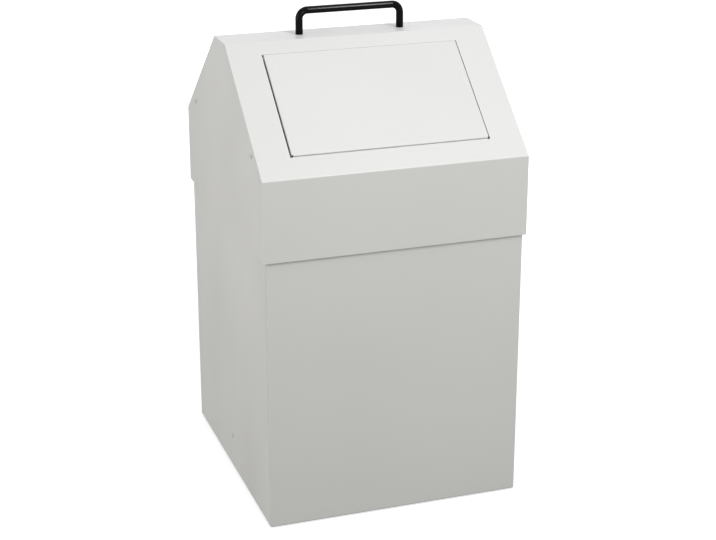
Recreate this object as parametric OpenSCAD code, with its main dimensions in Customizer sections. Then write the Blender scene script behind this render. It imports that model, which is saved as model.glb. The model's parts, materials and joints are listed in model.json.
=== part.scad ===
// Free-standing sheet steel waste bin with a lift-off roof-shaped hood,
// a self-closing flap in the front slope and a galvanised inner container.
// Millimetres. The front faces -Y, +Z is up, and the origin is the centre
// of the footprint on the floor.

/* [Body] */
// Outside width of the body
body_w = 319; // [300:1:420]
// Outside depth of the body
body_d = 344; // [300:1:440]
// Height of the body's rim above the floor
body_h = 438; // [380:1:560]
// Thickness of the sheet of the body and hood
sheet = 1; // [0.8:0.1:1.5]
// Outside radius of a fold in the sheet
fold_r = 2; // [1.6:0.1:3]
// Width of the rim folded inwards at the top of the body
rim_w = 12; // [9:0.5:14]
// Width of the edge folded inwards at the bottom of the body
bottom_flange_w = 18; // [16:0.5:24]
// Width of the strip behind the seam in the rear wall
seam_w = 18; // [12:1:30]
// Width of the slit that shows at the seam
seam_slit = 0.5; // [0.3:0.1:1]

/* [Floor pan and feet] */
// Height of the floor pan's upper face
pan_z = 60; // [50:1:90]
// Depth of the floor pan's flanges
pan_flange = 26; // [18:1:34]
// Diameter of a rubber foot
foot_d = 14; // [10:0.5:15]
// Height that the feet stand below the body
foot_h = 2; // [1.5:0.5:4]
// Diameter of a foot's neck
foot_neck_d = 6; // [4:0.5:8]
// Distance from the corner to a foot along the side
foot_inset = 34; // [25:1:60]

/* [Hood] */
// Clearance between the body and the hood's skirt
hood_gap = 2; // [1.5:0.1:4]
// Distance that the skirt reaches down past the body's rim
skirt_drop = 97; // [60:1:140]
// Height of the shoulder fold above the body's rim
shoulder_rise = 0.5; // [0.5:0.5:4]
// Height of the roof from the shoulder fold to the top strip
roof_h = 124.5; // [100:0.5:150]
// Depth of the flat top strip
strip_d = 49; // [40:1:60]
// Width of the flanges of the hood's side panels
side_flange = 12; // [8:1:16]

/* [Flap] */
// Width of the flap opening
opening_w = 244.6; // [200:0.2:256]
// Distance along the slope from the top strip to the opening
opening_top = 19.6; // [18:0.2:40]
// Distance along the slope from the opening to the shoulder fold
opening_bottom = 29.1; // [24:0.2:50]
// Gap at each side of the flap when it is centred
flap_side_gap = 1.05; // [1:0.05:4]
// Distance that the flap stands to the right within its end play
flap_shift = 0.85; // [0:0.05:0.85]
// Gap under the flap
flap_bottom_gap = 2.1; // [1.5:0.1:4]
// Gap above the flap, next to the hinge
flap_top_gap = 0.3; // [0.3:0.1:1]
// Depth of the flap's cheeks at the hinge
cheek_depth = 16; // [16:0.5:20]
// Depth of the flap's cheeks at the lower end
cheek_end_depth = 9; // [6:0.5:12]
// Length of the stop lip behind the hood
lip_l = 9; // [6:0.5:12]
// Furthest swing of the flap, in degrees
flap_open = 75; // [60:1:80]

/* [Hinge] */
// Diameter of the hinge rod
rod_d = 5; // [4:0.5:6]
// Depth of the rod's axis below the outer face of the slope
rod_depth = 8; // [8:0.5:9]
// Distance of the rod's axis down the slope from the top of the opening
rod_offset = 2; // [1:0.5:4]
// Sheet thickness of the hinge brackets and support angles
bracket_t = 1.5; // [1.2:0.1:2]
// Wire diameter of the closing springs
spring_wire = 1.2; // [1:0.1:1.4]
// Number of turns of each closing spring
spring_turns = 6; // [3:1:9]

/* [Carry handle] */
// Distance between the handle's legs, centre to centre
handle_pitch = 128; // [96:1:192]
// Diameter of the handle's rod
handle_d = 9; // [8:0.5:10]
// Height of the handle above the top strip
handle_h = 33; // [28:0.5:45]
// Outside radius of the handle's bends
handle_bend = 14.5; // [12:0.5:18]
// Thread diameter of the handle's screws
screw_d = 5; // [4:0.5:6]

/* [Inner container] */
// Clearance between the container's rim and the body's rim
liner_gap = 2.5; // [2:0.5:6]
// Distance from the container's rim down from the body's rim
liner_drop = 12; // [11:0.5:20]
// Sheet thickness of the container
liner_t = 0.8; // [0.7:0.1:1]
// Distance that the container's rim is turned outwards
liner_rim = 4; // [3:0.5:5]
// Corner radius of the container
liner_r = 12; // [8:1:20]
// Height of the recess under the container's base
liner_recess = 8; // [6:0.5:12]
// Diameter of the bail's wire
bail_d = 5; // [4:0.5:6]

/* [Hidden] */

$fn = 48;

paint_light = [0.80, 0.80, 0.78];
zinc = [0.66, 0.68, 0.69];
bright_steel = [0.74, 0.74, 0.74];
handle_black = [0.06, 0.06, 0.065];
rubber_black = [0.10, 0.10, 0.10];
nylon_white = [0.88, 0.88, 0.84];

// Clearances: a part that rests on another body, a running fit, a loose fit
seat = 0.2;
running = 0.05;
free = 0.3;
// Extra length by which a cutting solid passes the faces that it cuts
cut = 5;
// Number of flats along one fold of the sheet
fold_steps = 6;
// Straight length by which a rounded corner runs into the sides beside it
corner_lap = 1;

// The snap head that holds a foot in its hole
foot_head_d = foot_neck_d + 2.6;
foot_tip_d = foot_neck_d - 1;
foot_head_h = 3;

// Hood sizes that follow the body
hood_w = body_w + 2 * (hood_gap + sheet);
hood_d = body_d + 2 * (hood_gap + sheet);
skirt_z = body_h - skirt_drop;
shoulder_z = body_h + shoulder_rise;
strip_z = shoulder_z + roof_h;
slope_run = (hood_d - strip_d) / 2;
slope_a = atan2(roof_h, slope_run);
slope_l = norm([roof_h, slope_run]);

// Opening and flap, measured down the front slope from the opening's top
opening_l = slope_l - opening_top - opening_bottom;
flap_w = opening_w - 2 * flap_side_gap;
flap_l = opening_l - flap_bottom_gap;
// The lip carries two bumpers and lies that much under the hood's sheet
bumper_t = 1.2;
bumper_d = 7;
bumper_face_d = 5.5;
bumper_x = 80;
lip_depth = sheet + bumper_t + free;
// Outside radius of the two folds between the panel and the lip
lip_fold_r = 1.5;

// Space between a flap cheek and its bracket, outside the opening's edge
bracket_set = 1.3;
bracket_x = opening_w / 2 + bracket_set;
// The bracket's foot takes half of the space beside the side panel's flange
bracket_foot = (hood_w / 2 - side_flange - bracket_x) / 2;
bracket_reach = 11;
rod_end = 3.5;
clip_t = 0.8;
clip_d = 2 * rod_d;
clip_dish = 0.6;

// The hinge bush
bush_wall = 1.2;
bush_flange_d = 10;
bush_tail = 1.5;
cheek_bore_d = rod_d + 2 * (running + bush_wall + running);

// The eyes round the rod stay clear of the hood's sheet above them
eye_gap = 1;
cheek_eye_r = rod_depth - sheet - eye_gap;
bracket_eye_r = rod_depth - sheet - eye_gap / 2;
// The heel of a cheek, which meets the hood's sheet when the flap is open
heel_r = 12;

// The spring lies just under the sheet, with its legs along it
spring_r = rod_depth - sheet - spring_wire / 2 - seat;
spring_pitch = spring_wire + free;
spring_leg = 28;
spring_foot = 14;
wire_sides = 8;
wire_steps = 12;

// Support angles of the hood and the rivets that hold them
angle_w = 20;
angle_h = 26;
angle_margin = 2.8;
rivet_rise = 19;
rivet_from_end = 7.4;
rivet_d = 3.2;
rivet_head_d = 6.5;
rivet_head_h = 1.3;
rivet_pin_d = 1.9;
rivet_pin_dip = 0.8;
rivet_tail_d = 5;
rivet_tail_l = 2.4;
pan_rivet_z = pan_z - pan_flange / 2;

// The length of the support angles ends short of the sloping flanges
angle_top = body_h + seat + angle_h;
angle_l = hood_d - 2 * ((angle_top - shoulder_z) / tan(slope_a)
                        + 2 * sheet / sin(slope_a) + angle_margin);
angle_rivet_y = angle_l / 2 - rivet_from_end;

// Container sizes that follow the body
liner_rim_w = body_w - 2 * (rim_w + liner_gap);
liner_rim_d = body_d - 2 * (rim_w + liner_gap);
liner_w = liner_rim_w - 2 * liner_rim;
liner_d = liner_rim_d - 2 * liner_rim;
liner_top = body_h - liner_drop;
liner_z = pan_z + seat;
liner_hem = 6;
liner_fold_r = 1.6;

// Ears and bail
ear_t = 1.5;
ear_w = 26;
ear_drop = 26;
ear_in = liner_w / 2 - liner_t - ear_t;
ear_rivet_y = 7;
ear_rivet_drop = 16;
bail_button_d = bail_d + 1.2;
bail_z = liner_top + free + bail_button_d / 2;
bail_elbow = 5;
bail_x = ear_in - free - bail_elbow;
bail_y = liner_rim_d / 2 - liner_rim / 2 - liner_t;
bail_bend = 14;
bail_tip = 2.2;
bail_button_t = 1;

// Handle screws
screw_hole_d = screw_d + 0.5;
screw_grip = 12;
screw_tip_gap = 1;
screw_head_d = 2 * screw_d;
screw_crown_d = 7;
screw_head_h = 3.5;
screw_slot_l = screw_d;
screw_slot_w = 1.2;
screw_slot_h = 1.6;
washer_d = 3 * screw_d;
washer_t = 1.2;

// Unit vector
function unit(v) = v / norm(v);

// Normal on the right-hand side of a direction
function right_of(v) = [v.y, -v.x];

// Points of a path moved by d to the right-hand side of its direction
function shifted(path, d) = [
  for (i = [0 : len(path) - 1])
    let (
      u1 = unit(path[max(i, 1)] - path[max(i, 1) - 1]),
      u2 = unit(path[min(i, len(path) - 2) + 1] - path[min(i, len(path) - 2)]),
      n1 = right_of(u1),
      n2 = right_of(u2))
    path[i] + d * (n1 + n2) / (1 + n1 * n2)];

// Arc that rounds the corner of a path at v, between directions u1 and u2
function rounded_corner(v, u1, u2, r) =
  let (
    side = sign(cross(u1, u2)),
    turn = acos(u1 * u2),
    start = v - u1 * r * tan(turn / 2),
    spoke = side * right_of(u1) * r,
    centre = start - spoke)
  [for (k = [0 : fold_steps])
    let (a = side * turn * k / fold_steps)
    centre + [spoke.x * cos(a) - spoke.y * sin(a), spoke.x * sin(a) + spoke.y * cos(a)]];

// A path with its corners rounded. Right turns get one radius, left turns the other
function rounded_path(path, r_right, r_left) = [
  for (i = [0 : len(path) - 1])
    if (i == 0 || i == len(path) - 1)
      path[i]
    else
      let (
        u1 = unit(path[i] - path[i - 1]),
        u2 = unit(path[i + 1] - path[i]))
      each rounded_corner(path[i], u1, u2, cross(u1, u2) < 0 ? r_right : r_left)];

function reversed(list) = [for (i = [len(list) - 1 : -1 : 0]) list[i]];

// Outline of a folded sheet. The path runs along its outer face, with the
// sheet on the path's right-hand side, and r is the outside radius of a fold
function sheet_outline(path, t, r) = concat(
  rounded_path(path, r, r - t),
  reversed(rounded_path(shifted(path, t), r - t, r)));

// An outline in depth and height, extruded along X and centred
module along_x(l) {
  rotate([90, 0, 90]) linear_extrude(l, center = true) children();
}

// A profile that runs round a rectangle with rounded vertical corners. The
// profile's X is the distance inwards from the outer faces, its Y the height.
// What reaches further in than the corner radius is level, so that the four
// straight runs may overlap there. Each corner starts with a short straight
// length inside the runs that it joins, and out is the furthest outward reach
module round_box(w, d, r, outline, out = 0) {
  zs = [for (p = outline) p.y];
  for (side = [0 : 3]) {
    run = side % 2 == 0 ? w / 2 : d / 2;
    reach = side % 2 == 0 ? d / 2 : w / 2;
    rotate(90 * side) {
      translate([0, -reach, 0]) along_x(2 * (run - r)) polygon(outline);
      translate([run - r, r - reach, 0])
        rotate(-90)
          round_corner(r + out, min(zs), max(zs))
            translate([r, 0]) mirror([1, 0]) polygon(outline);
    }
  }
}

// Quarter turn of a profile about the Z axis, with a short straight length at
// both ends. Only what lies within the reach and the two heights is kept
module round_corner(reach, low, high) {
  module section() {
    intersection() {
      children();
      translate([0, low]) square([reach, high - low]);
    }
  }
  rotate_extrude(angle = 90) section() children();
  for (end = [0, 1])
    rotate([90, 0, 90 * end])
      translate([0, 0, -corner_lap * end])
        linear_extrude(corner_lap) section() children();
}

// A floor folded from sheet: a flange round its edge, up from the height low,
// and a plate whose upper face is at the height high
module flanged_floor(w, d, r, low, high, t, bend) {
  inset = r + bend;
  round_box(w, d, r, sheet_outline([[0, low], [0, high], [inset + bend, high]], t, bend));
  translate([inset - w / 2, inset - d / 2, high - t])
    cube([w - 2 * inset, d - 2 * inset, t]);
}

// Places children on the front slope: X across, Y up the slope from the top
// of the flap opening, Z outwards from the slope's outer face
module on_slope() {
  translate([0, -strip_d / 2, strip_z])
    rotate([slope_a, 0, 0])
      translate([0, -opening_top, 0])
        children();
}

// Places children on the flap, in the same directions as on the slope
module on_flap() {
  on_slope() translate([flap_shift, 0, 0]) children();
}

// Places children at the hinge rod's axis
module on_hinge() {
  on_slope() translate([0, -rod_offset, -rod_depth]) children();
}

// Blind rivet along X with its head on the +X side of the plane x = 0
module blind_rivet(grip) {
  rotate([0, 90, 0]) {
    difference() {
      intersection() {
        cylinder(d = rivet_head_d, h = rivet_head_h);
        translate([0, 0, rivet_head_h - rivet_head_d])
          sphere(r = rivet_head_d);
      }
      translate([0, 0, rivet_head_h - rivet_pin_dip])
        cylinder(d = rivet_pin_d, h = rivet_head_h);
    }
    translate([0, 0, -grip - rivet_tail_l]) {
      cylinder(d = rivet_d, h = rivet_tail_l + grip + rivet_head_h - rivet_pin_dip);
      cylinder(d = rivet_tail_d, h = rivet_tail_l);
    }
  }
}

// Hole for a blind rivet, along X through a wall at x = 0
module rivet_hole(depth) {
  rotate([0, 90, 0])
    translate([0, 0, -depth])
      cylinder(d = rivet_d + 2 * running, h = 2 * depth);
}

// Body

module foot_places() {
  for (x = [-1, 1], y = [-1, 1])
    translate([x * (body_w / 2 - bottom_flange_w / 2), y * (body_d / 2 - foot_inset), 0])
      children();
}

module body_shell() {
  wall = [[bottom_flange_w, foot_h], [0, foot_h], [0, body_h], [rim_w, body_h]];
  color(paint_light) {
    difference() {
      round_box(body_w, body_d, fold_r, sheet_outline(wall, sheet, fold_r));
      translate([-seam_slit / 2, body_d / 2 - bottom_flange_w - cut, foot_h - cut])
        cube([seam_slit, bottom_flange_w + 2 * cut, body_h + 2 * cut]);
      foot_places()
        cylinder(d = foot_neck_d + 2 * running, h = foot_h + sheet + cut);
      for (side = [-1, 1])
        translate([side * body_w / 2, 0, pan_rivet_z]) rivet_hole(rivet_head_d);
    }
    translate([-seam_w / 2, body_d / 2 - 2 * sheet, pan_z + sheet])
      cube([seam_w, sheet, body_h - 2 * sheet - pan_z]);
  }
}

module floor_pan() {
  color(paint_light)
    difference() {
      flanged_floor(body_w - 2 * sheet, body_d - 2 * sheet, fold_r,
                    pan_z - pan_flange, pan_z, sheet, fold_r);
      for (side = [-1, 1])
        translate([side * body_w / 2, 0, pan_rivet_z]) rivet_hole(rivet_head_d);
    }
}

module floor_rivets() {
  color(paint_light)
    for (side = [0, 1])
      rotate(180 * side)
        translate([body_w / 2, 0, pan_rivet_z])
          blind_rivet(2 * sheet);
}

module foot_glides() {
  color(rubber_black)
    foot_places() {
      cylinder(d = foot_d, h = foot_h);
      cylinder(d = foot_neck_d, h = foot_h + sheet + foot_head_h / 2);
      translate([0, 0, foot_h + sheet])
        cylinder(d1 = foot_head_d, d2 = foot_tip_d, h = foot_head_h);
    }
}

// Inner container

module liner_walls() {
  wall = [
    [-liner_rim, liner_top - liner_hem], [-liner_rim, liner_top],
    [liner_t, liner_top], [liner_t, liner_z]];
  color(zinc)
    difference() {
      round_box(liner_w, liner_d, liner_r, sheet_outline(wall, liner_t, liner_fold_r), liner_rim);
      ear_rivet_places() rivet_hole(rivet_head_d);
    }
}

module liner_base() {
  color(zinc)
    flanged_floor(liner_w - 2 * liner_t, liner_d - 2 * liner_t, liner_r - liner_t,
                  liner_z, liner_z + liner_recess, liner_t, liner_fold_r);
}

module ear_rivet_places() {
  for (side = [0, 1], y = [-1, 1])
    rotate(180 * side)
      translate([liner_w / 2, y * ear_rivet_y, liner_top - ear_rivet_drop])
        children();
}

module bail_ears() {
  color(zinc)
    difference() {
      for (side = [0, 1])
        rotate(180 * side)
          translate([ear_in, 0, 0])
            rotate([90, 0, 90])
              linear_extrude(ear_t) {
                translate([-ear_w / 2, liner_top - ear_drop])
                  square([ear_w, ear_drop]);
                translate([-ear_w / 4, liner_top])
                  square([ear_w / 2, bail_z - liner_top]);
                translate([0, bail_z]) circle(d = ear_w / 2);
              }
      translate([0, 0, bail_z])
        rotate([0, 90, 0])
          cylinder(d = bail_d + 2 * running, h = liner_w, center = true);
      ear_rivet_places() rivet_hole(rivet_head_d);
    }
}

module ear_rivets() {
  color(bright_steel)
    ear_rivet_places() blind_rivet(liner_t + ear_t);
}

// Quarter bend of a round rod in the XY plane, from +X to +Y directions
module rod_bend(r, d) {
  rotate_extrude(angle = 90) translate([r, 0]) circle(d = d);
}

module liner_bail() {
  color(zinc)
    for (side = [0, 1])
      mirror([side, 0, 0])
        translate([0, 0, bail_z]) {
          translate([bail_x + bail_elbow, 0, 0])
            rotate([0, 90, 0]) {
              cylinder(d = bail_d, h = free + ear_t + bail_tip);
              translate([0, 0, free + ear_t + free])
                cylinder(d = bail_button_d, h = bail_button_t);
            }
          translate([bail_x + bail_elbow, -bail_elbow, 0])
            rotate(90) rod_bend(bail_elbow, bail_d);
          translate([bail_x, -bail_elbow, 0])
            rotate([90, 0, 0])
              cylinder(d = bail_d, h = bail_y - bail_elbow - bail_bend);
          translate([bail_x - bail_bend, bail_bend - bail_y, 0])
            rotate(-90) rod_bend(bail_bend, bail_d);
          translate([0, -bail_y, 0])
            rotate([0, 90, 0])
              cylinder(d = bail_d, h = bail_x - bail_bend);
        }
}

// Hood

hood_path = [
  [-hood_d / 2, skirt_z], [-hood_d / 2, shoulder_z], [-strip_d / 2, strip_z],
  [strip_d / 2, strip_z], [hood_d / 2, shoulder_z], [hood_d / 2, skirt_z]];

module handle_places() {
  for (side = [-1, 1])
    translate([side * handle_pitch / 2, 0, strip_z])
      children();
}

module hood_cover() {
  color(paint_light)
    difference() {
      along_x(hood_w) polygon(sheet_outline(hood_path, sheet, fold_r));
      on_slope()
        translate([-opening_w / 2, -opening_l, -cut])
          cube([opening_w, opening_l, 2 * cut]);
      handle_places()
        translate([0, 0, -cut])
          cylinder(d = screw_hole_d, h = 2 * cut);
    }
}

// Right-hand side panel: a plate under the cover's edge, with a flange along
// the cover's inner face
module hood_side() {
  inner = shifted(hood_path, sheet);
  difference() {
    union() {
      translate([hood_w / 2 - sheet / 2, 0, 0])
        along_x(sheet)
          polygon(rounded_path(inner, fold_r - sheet, fold_r));
      translate([hood_w / 2 - side_flange / 2, 0, 0])
        along_x(side_flange)
          polygon(concat(
            rounded_path(inner, fold_r - sheet, fold_r),
            reversed(shifted(hood_path, 2 * sheet))));
    }
    for (y = [-1, 1])
      translate([hood_w / 2, y * angle_rivet_y, body_h + rivet_rise]) rivet_hole(rivet_head_d);
  }
}

module hood_side_left() {
  color(paint_light) mirror([1, 0, 0]) hood_side();
}

module hood_side_right() {
  color(paint_light) hood_side();
}

// Right-hand angle that stands on the body's rim and carries the hood
module support_angle() {
  x = hood_w / 2 - sheet;
  z = body_h + seat;
  difference() {
    rotate([90, 0, 0])
      linear_extrude(angle_l, center = true)
        polygon(sheet_outline([[x - angle_w, z + bracket_t], [x - bracket_t, z + bracket_t],
                               [x - bracket_t, z + angle_h]], bracket_t, fold_r + bracket_t));
    for (y = [-1, 1])
      translate([hood_w / 2, y * angle_rivet_y, body_h + rivet_rise]) rivet_hole(rivet_head_d);
  }
}

module support_angle_left() {
  color(paint_light) mirror([1, 0, 0]) support_angle();
}

module support_angle_right() {
  color(paint_light) support_angle();
}

module angle_rivets() {
  color(paint_light)
    for (side = [0, 1], y = [-1, 1])
      rotate(180 * side)
        translate([hood_w / 2, y * angle_rivet_y, body_h + rivet_rise])
          blind_rivet(sheet + bracket_t);
}

// Right-hand hinge bracket, welded under the slope beside the opening
module hinge_bracket() {
  difference() {
    on_hinge() {
      translate([bracket_x, -bracket_reach, rod_depth - sheet - bracket_t])
        cube([bracket_foot, 2 * bracket_reach, bracket_t]);
      translate([bracket_x, 0, 0])
        rotate([90, 0, 90])
          linear_extrude(bracket_t) {
            circle(r = bracket_eye_r);
            translate([-bracket_eye_r, 0])
              square([2 * bracket_eye_r, rod_depth - sheet]);
          }
    }
    on_hinge()
      rotate([0, 90, 0])
        cylinder(d = rod_d + 2 * running, h = hood_w, center = true);
  }
}

module hinge_bracket_left() {
  color(paint_light) mirror([1, 0, 0]) hinge_bracket();
}

module hinge_bracket_right() {
  color(paint_light) hinge_bracket();
}

module hinge_rod() {
  color(bright_steel)
    on_hinge()
      rotate([0, 90, 0])
        cylinder(d = rod_d, h = 2 * (bracket_x + bracket_t + rod_end), center = true);
}

// Push-on washers that keep the rod in its brackets
module rod_clips() {
  color(bright_steel)
    on_hinge()
      for (side = [0, 1])
        mirror([side, 0, 0])
          translate([bracket_x + bracket_t + running, 0, 0])
            rotate([0, 90, 0])
              rotate_extrude()
                polygon([
                  [clip_d / 2, 0], [clip_d / 2, clip_t],
                  [rod_d / 2 + running, clip_t + clip_dish], [rod_d / 2 + running, clip_dish]]);
}

module carry_handle() {
  top = strip_z + handle_h - handle_d / 2;
  bend = handle_bend - handle_d / 2;
  color(handle_black)
    difference() {
      for (side = [0, 1])
        mirror([side, 0, 0]) {
          translate([handle_pitch / 2, 0, strip_z])
            cylinder(d = handle_d, h = top - bend - strip_z);
          translate([handle_pitch / 2 - bend, 0, top - bend])
            rotate([90, 0, 0]) rod_bend(bend, handle_d);
          translate([0, 0, top])
            rotate([0, 90, 0])
              cylinder(d = handle_d, h = handle_pitch / 2 - bend);
        }
      handle_places()
        translate([0, 0, -cut])
          cylinder(d = screw_d + 2 * running, h = screw_grip + screw_tip_gap + cut);
    }
}

module handle_screws() {
  color(bright_steel)
    handle_places()
      difference() {
        union() {
          translate([0, 0, -sheet - washer_t])
            cylinder(d = screw_d, h = screw_grip + sheet + washer_t);
          translate([0, 0, -sheet - washer_t - screw_head_h])
            cylinder(d1 = screw_crown_d, d2 = screw_head_d, h = screw_head_h);
        }
        for (turn = [0, 90])
          rotate(turn)
            translate([-screw_slot_l / 2, -screw_slot_w / 2,
                       -sheet - washer_t - screw_head_h - cut])
              cube([screw_slot_l, screw_slot_w, screw_slot_h + cut]);
      }
}

module handle_washers() {
  color(bright_steel)
    handle_places()
      translate([0, 0, -sheet - washer_t])
        difference() {
          cylinder(d = washer_d, h = washer_t);
          translate([0, 0, -cut]) cylinder(d = screw_d + 2 * running, h = 2 * cut);
        }
}

// Flap

// Outline of the flap's cheeks in the slope's own Y and Z, with the eye round
// the rod and the heel that meets the hood's sheet when the flap is open
module cheek_outline() {
  heel_h = rod_depth - sheet - free;
  heel_a = 180 - asin(heel_h / heel_r) + flap_open;
  heel = [-rod_offset - heel_r * cos(heel_a), heel_r * sin(heel_a) - rod_depth];
  difference() {
    union() {
      polygon([
        [-flap_top_gap, 0], [-flap_l + lip_fold_r, 0],
        [-flap_l + lip_fold_r, -cheek_end_depth],
        [-rod_offset - cheek_depth, -cheek_depth], [-rod_offset, -rod_depth - cheek_eye_r],
        [-flap_top_gap, -rod_depth]]);
      translate([-rod_offset, -rod_depth]) circle(r = cheek_eye_r);
      polygon([
        heel, [-rod_offset, cheek_eye_r - rod_depth],
        [-rod_offset - cheek_eye_r, -rod_depth], [-rod_offset - cheek_depth, -cheek_depth]]);
    }
    translate([-rod_offset, -rod_depth]) circle(d = cheek_bore_d);
  }
}

module flap_panel() {
  channel = [
    [-flap_w / 2, -cheek_depth - cut], [-flap_w / 2, 0],
    [flap_w / 2, 0], [flap_w / 2, -cheek_depth - cut]];
  panel = [
    [-flap_top_gap - fold_r, 0], [-flap_l, 0], [-flap_l, -lip_depth],
    [-opening_l - lip_l, -lip_depth]];
  color(paint_light)
    on_flap() {
      intersection() {
        rotate([90, 0, 0])
          linear_extrude(2 * (flap_l + cut), center = true)
            polygon(sheet_outline(channel, sheet, fold_r));
        along_x(flap_w + cut) cheek_outline();
      }
      along_x(flap_w - 2 * fold_r)
        mirror([1, 0])
          polygon(sheet_outline([for (p = panel) [-p.x, p.y]], sheet, lip_fold_r));
    }
}

module hinge_bushes() {
  flange_t = bracket_x - flap_w / 2 - flap_shift - 2 * running;
  tail_l = sheet + bush_tail;
  color(nylon_white)
    on_flap()
      for (side = [-1, 1])
        translate([side * flap_w / 2, -rod_offset, -rod_depth])
          rotate([0, 90 * side, 0])
            difference() {
              union() {
                translate([0, 0, running]) cylinder(d = bush_flange_d, h = flange_t);
                translate([0, 0, -tail_l])
                  cylinder(d = cheek_bore_d - 2 * running, h = tail_l + flange_t / 2);
              }
              translate([0, 0, -cut])
                cylinder(d = rod_d + 2 * running, h = flange_t + 2 * cut);
            }
}

module flap_bumpers() {
  color(rubber_black)
    on_flap()
      for (side = [-1, 1])
        translate([side * bumper_x, -opening_l - lip_l / 2, -lip_depth])
          cylinder(d1 = bumper_d, d2 = bumper_face_d, h = bumper_t);
}

// Closing springs

// A wire of round section swept along points in space, with a ring of corners
// square to the wire at each point
module wire(points, d) {
  n = len(points);
  rings = [
    for (i = [0 : n - 1])
      let (
        u = unit(points[min(i + 1, n - 1)] - points[max(i - 1, 0)]),
        a = unit(cross(u, abs(u.x) < 0.9 ? [1, 0, 0] : [0, 1, 0])),
        b = cross(u, a))
      for (k = [0 : wire_sides - 1])
        points[i] + d / 2 * (a * cos(360 * k / wire_sides) + b * sin(360 * k / wire_sides))];
  quads = [
    for (i = [0 : n - 2], k = [0 : wire_sides - 1])
      let (
        p = i * wire_sides + k,
        q = i * wire_sides + (k + 1) % wire_sides)
      each [[p, p + wire_sides, q], [q, p + wire_sides, q + wire_sides]]];
  first = [for (k = [1 : wire_sides - 2]) [0, k, k + 1]];
  last = [for (k = [1 : wire_sides - 2])
    [(n - 1) * wire_sides, (n - 1) * wire_sides + k + 1, (n - 1) * wire_sides + k]];
  polyhedron(rings, concat(quads, first, last));
}

// Right-hand torsion spring: the short leg bears on the hood, the long leg on
// the flap, and both push outwards
module closing_spring() {
  x = flap_w / 2 - flap_shift - sheet - bush_tail - free - spring_wire;
  coil = spring_turns * wire_steps;
  points = concat(
    [[x, spring_foot, spring_r], [x, spring_foot / 2, spring_r]],
    [for (i = [0 : coil])
      let (a = 90 + 360 * i / wire_steps)
      [x - spring_pitch * i / wire_steps, spring_r * cos(a), spring_r * sin(a)]],
    [[x - spring_pitch * spring_turns, -spring_leg / 2, spring_r],
     [x - spring_pitch * spring_turns, -spring_leg, spring_r]]);
  on_hinge() wire(points, spring_wire);
}

module closing_spring_left() {
  color(bright_steel) mirror([1, 0, 0]) closing_spring();
}

module closing_spring_right() {
  color(bright_steel) closing_spring();
}

body_shell();
floor_pan();
floor_rivets();
foot_glides();
liner_walls();
liner_base();
bail_ears();
ear_rivets();
liner_bail();
hood_cover();
hood_side_left();
hood_side_right();
support_angle_left();
support_angle_right();
angle_rivets();
hinge_bracket_left();
hinge_bracket_right();
hinge_rod();
rod_clips();
carry_handle();
handle_screws();
handle_washers();
flap_panel();
hinge_bushes();
flap_bumpers();
closing_spring_left();
closing_spring_right();
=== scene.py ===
import bmesh
import bpy
import json
import math
from mathutils import Matrix, Quaternion, Vector


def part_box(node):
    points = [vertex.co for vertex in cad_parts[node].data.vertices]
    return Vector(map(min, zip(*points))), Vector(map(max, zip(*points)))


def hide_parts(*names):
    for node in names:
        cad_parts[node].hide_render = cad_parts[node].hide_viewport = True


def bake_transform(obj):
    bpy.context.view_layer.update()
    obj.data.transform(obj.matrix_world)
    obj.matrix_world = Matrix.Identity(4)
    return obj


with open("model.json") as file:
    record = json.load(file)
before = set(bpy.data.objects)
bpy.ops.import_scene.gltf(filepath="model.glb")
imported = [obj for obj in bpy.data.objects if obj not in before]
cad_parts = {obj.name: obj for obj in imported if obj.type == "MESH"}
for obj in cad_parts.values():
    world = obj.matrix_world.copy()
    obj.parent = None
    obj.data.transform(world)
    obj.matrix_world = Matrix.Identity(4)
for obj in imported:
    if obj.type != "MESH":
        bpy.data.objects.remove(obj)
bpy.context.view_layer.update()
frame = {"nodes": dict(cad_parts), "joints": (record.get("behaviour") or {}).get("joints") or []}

# Camera: where it looks from and how far the object stands from the middle of the picture
IMAGE_WIDTH = 716
SENSOR = 36.0
FOCAL_PIXELS = 1700.0
CAMERA_YAW = math.radians(-18.90)
CAMERA_PITCH = math.radians(20.28)
CAMERA_DISTANCE = 2.1397
CAMERA_AIM = Vector((0.0, 0.0, 0.320))
AIM_RIGHT = -0.00993
AIM_UP = 0.0618

# Lighting, in degrees, metres and watts: azimuth from the front towards the right, elevation,
# distance, width, height, roll, power and tint
SOFTBOXES = {
    "top": (180, 85, 1.9, 2.4, 2.4, 0, 12.8, (0.95, 0.94, 1.12)),
    "left": (-80, 15, 1.8, 1.2, 1.2, 0, 14.3, (1.03, 1.0, 0.97)),
    "front": (0, 14, 1.9, 0.45, 0.45, 0, 6.7, (1.0, 1.0, 1.0)),
    "strip": (23.8, 42, 2.2, 0.2, 1.1, -17, 27.0, (1.0, 1.0, 1.0)),
    "right": (100, 20, 2.2, 1.6, 1.6, 0, 11.0, (1.0, 1.0, 1.0)),
    "rear": (180, 20, 3.0, 3.2, 3.2, 0, 8.0, (1.0, 1.0, 1.0)),
    "rear low": (150, 2, 2.4, 3.2, 0.6, 0, 14.0, (1.0, 1.0, 1.0)),
}
LIGHT_AIM = Vector((0.0, 0.0, 0.35))
AMBIENT = 0.29
FLOOR_BOUNCE = 0.12
FLOOR_ALBEDO = 0.45
FLOOR_GLOW = (0.72, 1.0)
GLOW_RADII = (0.45, 1.5)
FLOOR_SIZE = 60.0

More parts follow.
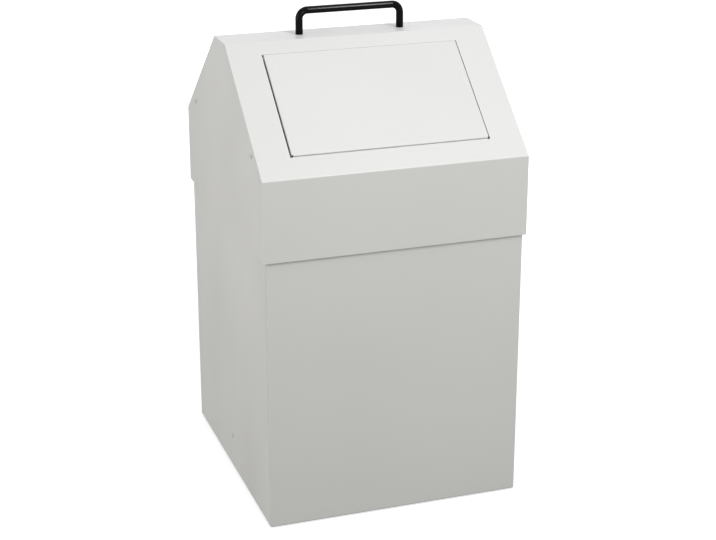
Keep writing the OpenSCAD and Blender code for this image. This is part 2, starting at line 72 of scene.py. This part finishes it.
# Surfaces, in linear colour
PAINT = (0.600, 0.606, 0.578)
# Colour of the pale edges: rubbed paint, and partly a painted edge highlight
RUBBED_PAINT_AND_EDGE_HIGHLIGHT = (0.70, 0.70, 0.685)
PAINT_ROUGHNESS = 0.42
ZINC = (0.455, 0.468, 0.476)
ZINC_HAZE = (0.36, 0.37, 0.378)
STEEL = (0.60, 0.60, 0.595)
COOL_STEEL = (0.54, 0.545, 0.55)
WARM_STEEL = (0.66, 0.655, 0.635)
BLACK_COAT = (0.0004, 0.0004, 0.0005)
COAT_DUST = (0.02, 0.02, 0.02)
RUBBER = (0.026, 0.026, 0.027)
RUBBER_DUST = (0.085, 0.083, 0.08)
NYLON = (0.76, 0.755, 0.70)

# The range that holds most of a noise's values
NOISE_SPAN = (0.3, 0.7)

# Pale edges, partly rubbed paint and partly a painted edge highlight: how far from an edge the
# paleness reaches, and the bend at which it is full and gone, as the cosine between the face and
# its softened copy
PALE_EDGE_REACH = 0.0011
PALE_EDGE_FULL = 0.80
PALE_EDGE_GONE = 0.995

# Closing springs, in the hinge's own frame: X along the rod, Y up the slope, Z outwards
ROOF_RISE = 0.1245
ROOF_RUN = 0.1505
SLOPE_ANGLE = math.atan2(ROOF_RISE, ROOF_RUN)
SPRING_WIRE = 0.0012
SPRING_RADIUS = 0.0062
SPRING_PITCH = 0.0015
SPRING_TURNS = 6
SPRING_LEG = 0.028
SPRING_FOOT = 0.014
SPRING_STEPS = 32
LEG_STEPS = 4
WIRE_SIDES = 12
WIRE_DOME = 0.2


def add_node(tree, kind, **inputs):
    """A shader node, with its unlinked inputs set by name."""
    node = tree.nodes.new(kind)
    for name, value in inputs.items():
        node.inputs[name.replace("_", " ")].default_value = value
    return node


def noise(tree, scale, detail=2.0, roughness=0.5, stretch=(1, 1, 1), shift=0.0, place=None):
    """Noise in the object's own space or in place's, with features about 1 / scale metres wide."""
    place = place or tree.nodes.new("ShaderNodeTexCoord").outputs["Object"]
    mapping = add_node(tree, "ShaderNodeMapping", Scale=stretch, Location=(shift, shift, shift))
    texture = add_node(tree, "ShaderNodeTexNoise", Scale=scale, Detail=detail, Roughness=roughness)
    tree.links.new(place, mapping.inputs["Vector"])
    tree.links.new(mapping.outputs["Vector"], texture.inputs["Vector"])
    return texture.outputs["Fac"]


def remap(tree, value, low, high, to_low, to_high):
    """Value scaled from one range to another and held within it."""
    node = add_node(tree, "ShaderNodeMapRange", From_Min=low, From_Max=high,
                    To_Min=to_low, To_Max=to_high)
    tree.links.new(value, node.inputs["Value"])
    return node.outputs["Result"]


def maths(tree, operation, a, b):
    """Two values, each a socket or a number, put through one operation."""
    node = tree.nodes.new("ShaderNodeMath")
    node.operation = operation
    for socket, value in zip(node.inputs, (a, b)):
        if isinstance(value, (int, float)):
            socket.default_value = value
        else:
            tree.links.new(value, socket)
    return node.outputs["Value"]


def mix_colour(tree, factor, a, b):
    """Colour a mixed with colour b, each a socket or a colour."""
    node = tree.nodes.new("ShaderNodeMix")
    node.data_type = "RGBA"
    tree.links.new(factor, node.inputs["Factor"])
    for name, value in (("A", a), ("B", b)):
        socket = next(s for s in node.inputs if s.name == name and s.type == "RGBA")
        if isinstance(value, tuple):
            socket.default_value = (*value, 1.0)
        else:
            tree.links.new(value, socket)
    return next(s for s in node.outputs if s.type == "RGBA")


def shade(colour, factor):
    """A colour made darker or lighter."""
    return tuple(c * factor for c in colour)


def bump(tree, height, distance, strength, under=None):
    """A bump of the given depth in metres, over another bump if one is given."""
    node = add_node(tree, "ShaderNodeBump", Strength=strength, Distance=distance)
    tree.links.new(height, node.inputs["Height"])
    if under:
        tree.links.new(under, node.inputs["Normal"])
    return node.outputs["Normal"]


def edge_wear_and_highlight(tree):
    """From 0 on a face to 1 on any sharp edge, where paint is rubbed and an edge highlight is
    painted.
    """
    soft = tree.nodes.new("ShaderNodeBevel")
    soft.samples = 4
    soft.inputs["Radius"].default_value = PALE_EDGE_REACH
    plain = tree.nodes.new("ShaderNodeNewGeometry")
    dot = tree.nodes.new("ShaderNodeVectorMath")
    dot.operation = "DOT_PRODUCT"
    tree.links.new(soft.outputs["Normal"], dot.inputs[0])
    tree.links.new(plain.outputs["Normal"], dot.inputs[1])
    return remap(tree, dot.outputs["Value"], PALE_EDGE_GONE, PALE_EDGE_FULL, 0.0, 1.0)


def material(name, base, roughness, metallic=0.0, specular=0.5):
    """A material, with its node tree and its main shader."""
    made = bpy.data.materials.new(name)
    made.use_nodes = True
    tree = made.node_tree
    shader = next(n for n in tree.nodes if n.type == "BSDF_PRINCIPLED")
    shader.inputs["Base Color"].default_value = (*base, 1.0)
    shader.inputs["Roughness"].default_value = roughness
    shader.inputs["Metallic"].default_value = metallic
    shader.inputs["Specular IOR Level"].default_value = specular
    return made, tree, shader


def powder_coat(name, shift):
    """Light grey powder coat: fine orange peel, clouded tone, paler edges (rubbed paint and a
    painted edge highlight), wiping marks.
    """
    made, tree, shader = material(name, PAINT, PAINT_ROUGHNESS)
    clouds = remap(tree, noise(tree, 3.2, 3.0, 0.55, shift=shift), *NOISE_SPAN, 0.0, 1.0)
    tone = mix_colour(tree, clouds, shade(PAINT, 0.978), shade(PAINT, 1.014))
    grain = remap(tree, noise(tree, 1500.0, 2.0, 0.6, shift=shift), 0.35, 0.65, 0.0, 0.05)
    tone = mix_colour(tree, grain, tone, shade(PAINT, 0.72))
    edge_patchiness = noise(tree, 38.0, 4.0, 0.7, stretch=(1, 1, 3), shift=shift + 7)
    # Paler edges: partly rubbed paint, partly a painted highlight along every sharp edge
    edge = maths(tree, "MULTIPLY", edge_wear_and_highlight(tree), remap(tree, edge_patchiness, 0.40, 0.62, 0.15, 0.55))
    tone = mix_colour(tree, edge, tone, RUBBED_PAINT_AND_EDGE_HIGHLIGHT)
    tree.links.new(tone, shader.inputs["Base Color"])
    wiping = remap(tree, noise(tree, 9.0, 4.0, 0.6, stretch=(1, 1, 0.35), shift=shift + 3),
                   *NOISE_SPAN, -0.05, 0.06)
    tree.links.new(maths(tree, "ADD", wiping, PAINT_ROUGHNESS), shader.inputs["Roughness"])
    peel = bump(tree, noise(tree, 300.0, 1.0, 0.4, shift=shift), 0.00008, 0.30)
    fine = bump(tree, noise(tree, 1300.0, 1.0, 0.5, shift=shift), 0.00003, 0.35, peel)
    tree.links.new(fine, shader.inputs["Normal"])
    return made


def galvanised(name):
    """Hot-dip galvanised sheet: spangle crystals, each with its own tone, gloss and feathering."""
    made, tree, shader = material(name, ZINC, 0.38, metallic=1.0)
    place = tree.nodes.new("ShaderNodeTexCoord")
    warp = noise(tree, 60.0, 2.0)
    offset = tree.nodes.new("ShaderNodeVectorMath")
    offset.operation = "ADD"
    tree.links.new(place.outputs["Object"], offset.inputs[0])
    tree.links.new(maths(tree, "MULTIPLY", warp, 0.008), offset.inputs[1])
    cells = add_node(tree, "ShaderNodeTexVoronoi", Scale=150.0, Randomness=1.0)
    tree.links.new(offset.outputs["Vector"], cells.inputs["Vector"])
    split = tree.nodes.new("ShaderNodeSeparateColor")
    tree.links.new(cells.outputs["Color"], split.inputs["Color"])
    turn = tree.nodes.new("ShaderNodeVectorRotate")
    tree.links.new(place.outputs["Object"], turn.inputs["Vector"])
    tree.links.new(cells.outputs["Color"], turn.inputs["Axis"])
    tree.links.new(maths(tree, "MULTIPLY", split.outputs["Blue"], 2 * math.pi), turn.inputs["Angle"])
    feathers = remap(tree, noise(tree, 1300.0, 2.0, 0.6, stretch=(0.12, 1, 1),
                                 place=turn.outputs["Vector"]), *NOISE_SPAN, 0.0, 1.0)
    tone = mix_colour(tree, split.outputs["Red"], shade(ZINC, 0.66), shade(ZINC, 1.10))
    tone = mix_colour(tree, maths(tree, "MULTIPLY", feathers, 0.35), tone, shade(ZINC, 0.60))
    haze = remap(tree, noise(tree, 14.0, 4.0, 0.65), 0.35, 0.7, 0.0, 0.45)
    tone = mix_colour(tree, haze, tone, ZINC_HAZE)
    tree.links.new(tone, shader.inputs["Base Color"])
    gloss = remap(tree, split.outputs["Green"], 0.0, 1.0, 0.28, 0.46)
    tree.links.new(maths(tree, "ADD", gloss, maths(tree, "MULTIPLY", feathers, 0.06)),
                   shader.inputs["Roughness"])
    tree.links.new(bump(tree, noise(tree, 420.0, 3.0), 0.00004, 0.4), shader.inputs["Normal"])
    return made


def zinc_steel(name, stretch):
    """Bright zinc plate over drawn or turned steel, with fine lines along one direction."""
    made, tree, shader = material(name, STEEL, 0.30, metallic=1.0)
    lines = noise(tree, 900.0, 2.0, 0.6, stretch=stretch)
    blotch = remap(tree, noise(tree, 90.0, 3.0), *NOISE_SPAN, 0.0, 1.0)
    tone = mix_colour(tree, blotch, COOL_STEEL, WARM_STEEL)
    tree.links.new(tone, shader.inputs["Base Color"])
    tree.links.new(remap(tree, lines, *NOISE_SPAN, 0.22, 0.42), shader.inputs["Roughness"])
    tree.links.new(bump(tree, lines, 0.00002, 0.5), shader.inputs["Normal"])
    return made


def black_coat(name):
    """Black gloss coat on the handle, polished where hands have held it."""
    made, tree, shader = material(name, BLACK_COAT, 0.10, specular=0.09)
    grip = remap(tree, noise(tree, 45.0, 4.0, 0.65), 0.35, 0.7, 0.09, 0.14)
    tree.links.new(grip, shader.inputs["Roughness"])
    dust = remap(tree, noise(tree, 700.0, 3.0, 0.7), 0.55, 0.75, 0.0, 0.08)
    tree.links.new(mix_colour(tree, dust, BLACK_COAT, COAT_DUST), shader.inputs["Base Color"])
    tree.links.new(bump(tree, noise(tree, 250.0, 1.0), 0.00004, 0.15), shader.inputs["Normal"])
    return made


def rubber(name):
    """Moulded rubber, matt and slightly dusty."""
    made, tree, shader = material(name, RUBBER, 0.78, specular=0.3)
    dust = remap(tree, noise(tree, 260.0, 4.0, 0.7), 0.45, 0.75, 0.0, 0.35)
    tree.links.new(mix_colour(tree, dust, RUBBER, RUBBER_DUST), shader.inputs["Base Color"])
    tree.links.new(bump(tree, noise(tree, 1800.0, 2.0), 0.00005, 0.6), shader.inputs["Normal"])
    return made


def nylon(name):
    """Natural nylon, waxy and faintly translucent."""
    made, tree, shader = material(name, NYLON, 0.46)
    shader.inputs["Subsurface Weight"].default_value = 0.15
    shader.inputs["Subsurface Radius"].default_value = (0.0012, 0.0011, 0.0009)
    tint = remap(tree, noise(tree, 220.0, 3.0), *NOISE_SPAN, 0.0, 1.0)
    tree.links.new(mix_colour(tree, tint, shade(NYLON, 0.94), NYLON), shader.inputs["Base Color"])
    tree.links.new(bump(tree, noise(tree, 1200.0, 2.0), 0.00003, 0.4), shader.inputs["Normal"])
    return made


BODY_PAINT = powder_coat("body_powder_coat", 0.0)
HOOD_PAINT = powder_coat("hood_powder_coat", 4.7)
FLAP_PAINT = powder_coat("flap_powder_coat", 9.1)
GALVANISED = galvanised("galvanised_spangle")
ROD_STEEL = zinc_steel("zinc_plated_rod", (0.04, 1, 1))
SMALL_STEEL = zinc_steel("zinc_plated_small_parts", (1, 1, 0.3))
SPRING_STEEL = zinc_steel("spring_wire_steel", (1, 0.5, 0.5))
HANDLE_BLACK = black_coat("handle_black_coat")
RUBBER_BLACK = rubber("moulded_rubber")
NYLON_WHITE = nylon("natural_nylon")

FINISHES = {
    "body_shell": BODY_PAINT, "floor_pan": BODY_PAINT, "floor_rivets": BODY_PAINT,
    "foot_glides": RUBBER_BLACK,
    "liner_walls": GALVANISED, "liner_base": GALVANISED, "bail_ears": GALVANISED,
    "liner_bail": GALVANISED, "ear_rivets": SMALL_STEEL,
    "hood_cover": HOOD_PAINT, "hood_side_left": HOOD_PAINT, "hood_side_right": HOOD_PAINT,
    "support_angle_left": HOOD_PAINT, "support_angle_right": HOOD_PAINT, "angle_rivets": HOOD_PAINT,
    "hinge_bracket_left": HOOD_PAINT, "hinge_bracket_right": HOOD_PAINT,
    "hinge_rod": ROD_STEEL, "rod_clips": SMALL_STEEL,
    "carry_handle": HANDLE_BLACK, "handle_screws": SMALL_STEEL, "handle_washers": SMALL_STEEL,
    "flap_panel": FLAP_PAINT, "hinge_bushes": NYLON_WHITE, "flap_bumpers": RUBBER_BLACK,
    "closing_spring_left": SPRING_STEEL, "closing_spring_right": SPRING_STEEL,
}


def dress_frame():
    """Every node of the frame gets its finish."""
    for name, finish in FINISHES.items():
        for slot in frame["nodes"][name].material_slots:
            slot.material = finish


def tube(name, points, diameter, sides):
    """A closed tube of round section along points, with domed ends."""
    mesh = bmesh.new()
    rings = []
    count = len(points)
    across = None
    for i, point in enumerate(points):
        ahead = (points[min(i + 1, count - 1)] - points[max(i - 1, 0)]).normalized()
        if across is None:
            across = ahead.orthogonal().normalized()
        across = (across - ahead * across.dot(ahead)).normalized()
        other = ahead.cross(across)
        ring = []
        for k in range(sides):
            a = 2 * math.pi * k / sides
            spot = point + (across * math.cos(a) + other * math.sin(a)) * diameter / 2
            ring.append(mesh.verts.new(spot))
        rings.append(ring)
    for near, far in zip(rings, rings[1:]):
        for k in range(sides):
            n = (k + 1) % sides
            mesh.faces.new((near[k], near[n], far[n], far[k]))
    for ring, end, inner in ((rings[0], points[0], points[1]), (rings[-1], points[-1], points[-2])):
        tip = mesh.verts.new(end + (end - inner).normalized() * diameter * WIRE_DOME)
        for k in range(sides):
            mesh.faces.new((ring[k], tip, ring[(k + 1) % sides]))
    bmesh.ops.recalc_face_normals(mesh, faces=mesh.faces)
    data = bpy.data.meshes.new(name)
    mesh.to_mesh(data)
    mesh.free()
    for face in data.polygons:
        face.use_smooth = True
    piece = bpy.data.objects.new(name, data)
    bpy.context.scene.collection.objects.link(piece)
    return piece


def hinge_matrix():
    """From the hinge's own frame to the object's."""
    joint = next(j for j in frame["joints"] if j["name"] == "flap_swing")
    return Matrix.Translation(joint["pos_m"]) @ Matrix.Rotation(SLOPE_ANGLE, 4, "X")


def closing_spring(side, node):
    """A torsion spring that twists between the hood and the flap."""
    low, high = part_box(node)
    outer = max(abs(low.x), abs(high.x)) - SPRING_WIRE / 2
    inner = outer - SPRING_PITCH * SPRING_TURNS
    line = [(outer, SPRING_FOOT * (1 - i / LEG_STEPS), SPRING_RADIUS) for i in range(LEG_STEPS)]
    for i in range(SPRING_TURNS * SPRING_STEPS + 1):
        a = math.radians(90 + 360 * i / SPRING_STEPS)
        line.append((outer - SPRING_PITCH * i / SPRING_STEPS,
                     SPRING_RADIUS * math.cos(a), SPRING_RADIUS * math.sin(a)))
    line += [(inner, -SPRING_LEG * (i + 1) / LEG_STEPS, SPRING_RADIUS) for i in range(LEG_STEPS)]
    place = hinge_matrix()
    points = [place @ Vector((side * x, y, z)) for x, y, z in line]
    spring = tube(f"{node}_wire", points, SPRING_WIRE, WIRE_SIDES)
    spring.data.materials.append(SPRING_STEEL)
    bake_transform(spring)
    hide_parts(node)


def seen_directly(tree):
    """1 where the camera sees a surface, straight or mirrored, and 0 where it only lights others."""
    rays = tree.nodes.new("ShaderNodeLightPath")
    mirrored = maths(tree, "MAXIMUM", rays.outputs["Is Glossy Ray"],
                     rays.outputs["Is Transmission Ray"])
    return maths(tree, "MAXIMUM", rays.outputs["Is Camera Ray"], mirrored)


def stage():
    """A plain white floor, seen as white and lighting the object as a pale grey one."""
    mesh = bpy.data.meshes.new("floor")
    h = FLOOR_SIZE / 2
    mesh.from_pydata([(-h, -h, 0), (h, -h, 0), (h, h, 0), (-h, h, 0)], [], [(0, 1, 2, 3)])
    floor = bpy.data.objects.new("floor", mesh)
    bpy.context.scene.collection.objects.link(floor)
    finish = bpy.data.materials.new("floor_white")
    finish.use_nodes = True
    tree = finish.node_tree
    tree.nodes.clear()
    bounce = add_node(tree, "ShaderNodeBsdfDiffuse", Color=(FLOOR_BOUNCE,) * 3 + (1.0,))
    matt = add_node(tree, "ShaderNodeBsdfDiffuse", Color=(FLOOR_ALBEDO,) * 3 + (1.0,))
    glow = tree.nodes.new("ShaderNodeEmission")
    place = tree.nodes.new("ShaderNodeTexCoord")
    away = tree.nodes.new("ShaderNodeVectorMath")
    away.operation = "LENGTH"
    tree.links.new(place.outputs["Object"], away.inputs[0])
    tree.links.new(remap(tree, away.outputs["Value"], *GLOW_RADII, *FLOOR_GLOW),
                   glow.inputs["Strength"])
    both = tree.nodes.new("ShaderNodeAddShader")
    choose = tree.nodes.new("ShaderNodeMixShader")
    output = tree.nodes.new("ShaderNodeOutputMaterial")
    tree.links.new(matt.outputs["BSDF"], both.inputs[0])
    tree.links.new(glow.outputs["Emission"], both.inputs[1])
    tree.links.new(seen_directly(tree), choose.inputs["Fac"])
    tree.links.new(bounce.outputs["BSDF"], choose.inputs[1])
    tree.links.new(both.outputs["Shader"], choose.inputs[2])
    tree.links.new(choose.outputs["Shader"], output.inputs["Surface"])
    mesh.materials.append(finish)


def surroundings():
    """White where the camera or a mirror sees it, and a soft grey light on the object."""
    world = bpy.data.worlds.new("studio")
    bpy.context.scene.world = world
    world.use_nodes = True
    tree = world.node_tree
    tree.nodes.clear()
    strength = remap(tree, seen_directly(tree), 0.0, 1.0, AMBIENT, 1.0)
    background = add_node(tree, "ShaderNodeBackground", Color=(1.0, 1.0, 1.0, 1.0))
    output = tree.nodes.new("ShaderNodeOutputWorld")
    tree.links.new(strength, background.inputs["Strength"])
    tree.links.new(background.outputs["Background"], output.inputs["Surface"])


def softbox(name, azimuth, elevation, distance, width, height, roll, power, tint):
    """A rectangular lamp that faces the middle of the object."""
    a, e = math.radians(azimuth), math.radians(elevation)
    direction = Vector((math.sin(a) * math.cos(e), -math.cos(a) * math.cos(e), math.sin(e)))
    light = bpy.data.lights.new(name, "AREA")
    light.shape = "RECTANGLE"
    light.size = width
    light.size_y = height
    light.energy = power
    light.color = tint
    lamp = bpy.data.objects.new(name, light)
    lamp.location = LIGHT_AIM + direction * distance
    lamp.rotation_mode = "QUATERNION"
    lamp.rotation_quaternion = ((-direction).to_track_quat("-Z", "Y")
                                @ Quaternion((0, 0, 1), math.radians(roll)))
    bpy.context.scene.collection.objects.link(lamp)


def camera():
    """The photograph's viewpoint, with the object's middle a little off the picture's centre."""
    data = bpy.data.cameras.new("camera")
    data.sensor_width = SENSOR
    data.lens = FOCAL_PIXELS * SENSOR / IMAGE_WIDTH
    data.clip_end = 2 * FLOOR_SIZE
    back = Vector((math.sin(CAMERA_YAW) * math.cos(CAMERA_PITCH),
                   -math.cos(CAMERA_YAW) * math.cos(CAMERA_PITCH), math.sin(CAMERA_PITCH)))
    right = Vector((math.cos(CAMERA_YAW), math.sin(CAMERA_YAW), 0.0))
    up = back.cross(right)
    eye = bpy.data.objects.new("camera", data)
    turn = Matrix((right, up, back)).transposed().to_4x4()
    eye.matrix_world = Matrix.Translation(
        CAMERA_AIM + back * CAMERA_DISTANCE - right * AIM_RIGHT - up * AIM_UP) @ turn
    bpy.context.scene.collection.objects.link(eye)
    bpy.context.scene.camera = eye


bpy.context.scene.view_settings.view_transform = "Standard"
camera()
stage()
surroundings()
for name, box in SOFTBOXES.items():
    softbox(name, *box)
dress_frame()
closing_spring(1, "closing_spring_right")
closing_spring(-1, "closing_spring_left")
